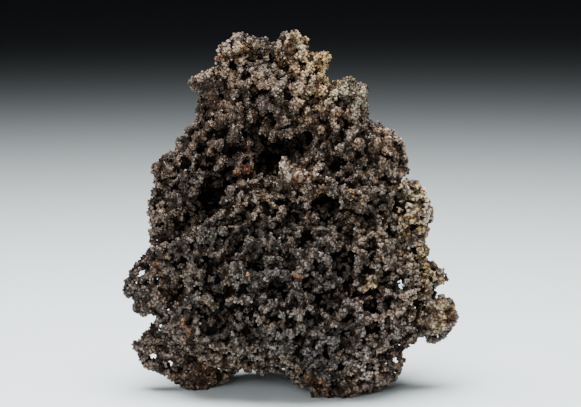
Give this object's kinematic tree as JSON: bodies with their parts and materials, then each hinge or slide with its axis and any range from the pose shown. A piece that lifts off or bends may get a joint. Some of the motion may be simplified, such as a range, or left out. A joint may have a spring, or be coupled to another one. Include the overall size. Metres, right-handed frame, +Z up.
{
  "type": "chlorargyrite specimen",
  "caption": "Free-standing spongy mass of intergrown silver chloride crystals, roughly triangular, with two small summits and a stepped front.",
  "frame": {"origin": "middle of the bounding box's base, on the surface that the specimen stands on", "axes": "+Z up, along the specimen's height; -Y towards the stepped front; +X to the right, seen from the front"},
  "size_m": [0.0502, 0.0356, 0.0539],
  "materials": {
    "grey_crystals": "satin",
    "honey_crystals": "waxy",
    "rusty_crystals": "dull",
    "dark_sponge": "dull"
  },
  "bodies": {
    "root": {"crystal_mass": "grey_crystals"}
  },
  "joints": []
}
